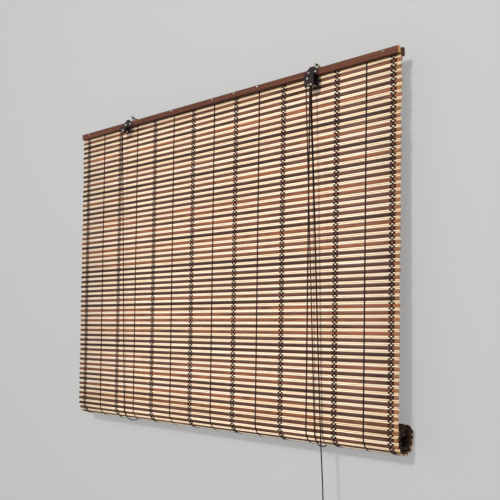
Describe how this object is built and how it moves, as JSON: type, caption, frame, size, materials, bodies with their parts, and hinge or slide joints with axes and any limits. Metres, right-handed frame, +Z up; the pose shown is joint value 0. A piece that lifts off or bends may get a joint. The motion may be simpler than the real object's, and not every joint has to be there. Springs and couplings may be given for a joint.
{
  "type": "cord-operated roll-up blind",
  "caption": "Woven wood roll-up window blind, partly lowered, with head battens, a cord-cradled roll, a side pulley, a cord lock and pull cords with a tassel.",
  "frame": {"origin": "on the wall plane at mid-width, at the height of the two wall hooks", "axes": "+X to the right along the battens as seen from the room, +Y into the wall, +Z up"},
  "size_m": [0.903, 0.0982, 0.911],
  "materials": {
    "mahogany_wood": "stained, satin",
    "woven_sticks": "natural reeds and stained slats",
    "dark_yarn": "matt",
    "brown_cord": "braided, matt",
    "dark_bronze": "satin",
    "bright_steel": "satin",
    "dark_plastic": "matt"
  },
  "bodies": {
    "headrail": {"back_batten": "mahogany_wood", "batten_nail_1": "bright_steel", "batten_nail_2": "bright_steel", "batten_nail_3": "bright_steel", "batten_nail_4": "bright_steel", "batten_nail_5": "bright_steel", "batten_nail_6": "bright_steel", "bracket_screw_left": "bright_steel", "bracket_screw_right": "bright_steel", "cord_knot_left": "brown_cord", "cord_knot_right": "brown_cord", "cord_lock_housing": "dark_bronze", "cord_staple_left": "bright_steel", "cord_staple_right": "bright_steel", "front_batten": "mahogany_wood", "hanger_eye_left": "bright_steel", "hanger_eye_right": "bright_steel", "hanging_fabric": "woven_sticks", "lift_cord_left_front": "brown_cord", "lift_cord_left_header": "brown_cord", "lift_cord_left_rear": "brown_cord", "lift_cord_right_front": "brown_cord", "lift_cord_right_over_sheave": "brown_cord", "lift_cord_right_rear": "brown_cord", "lock_anvil_pin": "bright_steel", "lock_screw_left": "bright_steel", "lock_screw_right": "bright_steel", "lock_sheave_axle": "bright_steel", "lock_spacer": "bright_steel", "pull_cord_front": "brown_cord", "pull_cord_rear": "brown_cord", "pull_tassel": "mahogany_wood", "pulley_axle": "bright_steel", "pulley_bracket": "dark_bronze", "pulley_spacer": "bright_steel", "wall_hook_left": "dark_bronze", "wall_hook_right": "dark_bronze", "warp_band_1": "dark_yarn", "warp_band_2": "dark_yarn", "warp_band_3": "dark_yarn", "warp_band_4": "dark_yarn", "warp_band_5": "dark_yarn", "warp_band_6": "dark_yarn", "warp_band_7": "dark_yarn", "warp_band_8": "dark_yarn", "warp_line_1": "dark_yarn", "warp_line_2": "dark_yarn", "warp_line_3": "dark_yarn", "warp_line_4": "dark_yarn", "warp_line_5": "dark_yarn", "warp_line_6": "dark_yarn", "warp_line_7": "dark_yarn"},
    "roll_carriage": {"lift_cord_left_cradle": "brown_cord", "lift_cord_right_cradle": "brown_cord"},
    "roll": {"rolled_fabric": "woven_sticks", "bottom_batten": "mahogany_wood"},
    "left_pulley_wheel": {"left_pulley": "dark_plastic"},
    "lock_front_wheel": {"lock_sheave_front": "dark_plastic"},
    "lock_rear_wheel": {"lock_sheave_rear": "dark_plastic"},
    "lock_roller_body": {"lock_roller": "bright_steel"}
  },
  "joints": [
    {"name": "blind_lift", "type": "slide", "parent": "headrail", "child": "roll_carriage", "axis": [0, 0, 1], "range_m": [0, 0.6], "deforming": ["hanging_fabric", "warp_band_1", "warp_band_2", "warp_band_3", "warp_band_4", "warp_band_5", "warp_band_6", "warp_band_7", "warp_band_8", "warp_line_1", "warp_line_2", "warp_line_3", "warp_line_4", "warp_line_5", "warp_line_6", "warp_line_7", "lift_cord_left_front", "lift_cord_right_front", "lift_cord_left_rear", "lift_cord_right_rear"]},
    {"name": "roll_turn", "type": "hinge", "parent": "roll_carriage", "child": "roll", "pos_m": [0, -0.034, -0.6978], "axis": [1, 0, 0], "range_deg": [0, 1210]},
    {"name": "left_pulley_turn", "type": "hinge", "parent": "headrail", "child": "left_pulley_wheel", "pos_m": [-0.268, -0.0662, -0.035], "axis": [0, 1, 0], "range_deg": [0, 12510]},
    {"name": "lock_front_turn", "type": "hinge", "parent": "headrail", "child": "lock_front_wheel", "pos_m": [0.2702, -0.0694, -0.035], "axis": [0, 1, 0], "range_deg": [0, 12510]},
    {"name": "lock_rear_turn", "type": "hinge", "parent": "headrail", "child": "lock_rear_wheel", "pos_m": [0.2702, -0.0662, -0.035], "axis": [0, 1, 0], "range_deg": [0, 12510]},
    {"name": "lock_roller_slide", "type": "slide", "parent": "headrail", "child": "lock_roller_body", "axis": [-0.9, 0, 0.436], "range_m": [0, 0.0035]}
  ],
  "couplings": [
    {"joint": "roll_turn", "follows": "blind_lift", "rad_per_m": 35.149},
    {"joint": "left_pulley_turn", "follows": "blind_lift", "rad_per_m": 363.64},
    {"joint": "lock_front_turn", "follows": "blind_lift", "rad_per_m": 363.64},
    {"joint": "lock_rear_turn", "follows": "blind_lift", "rad_per_m": 363.64}
  ]
}
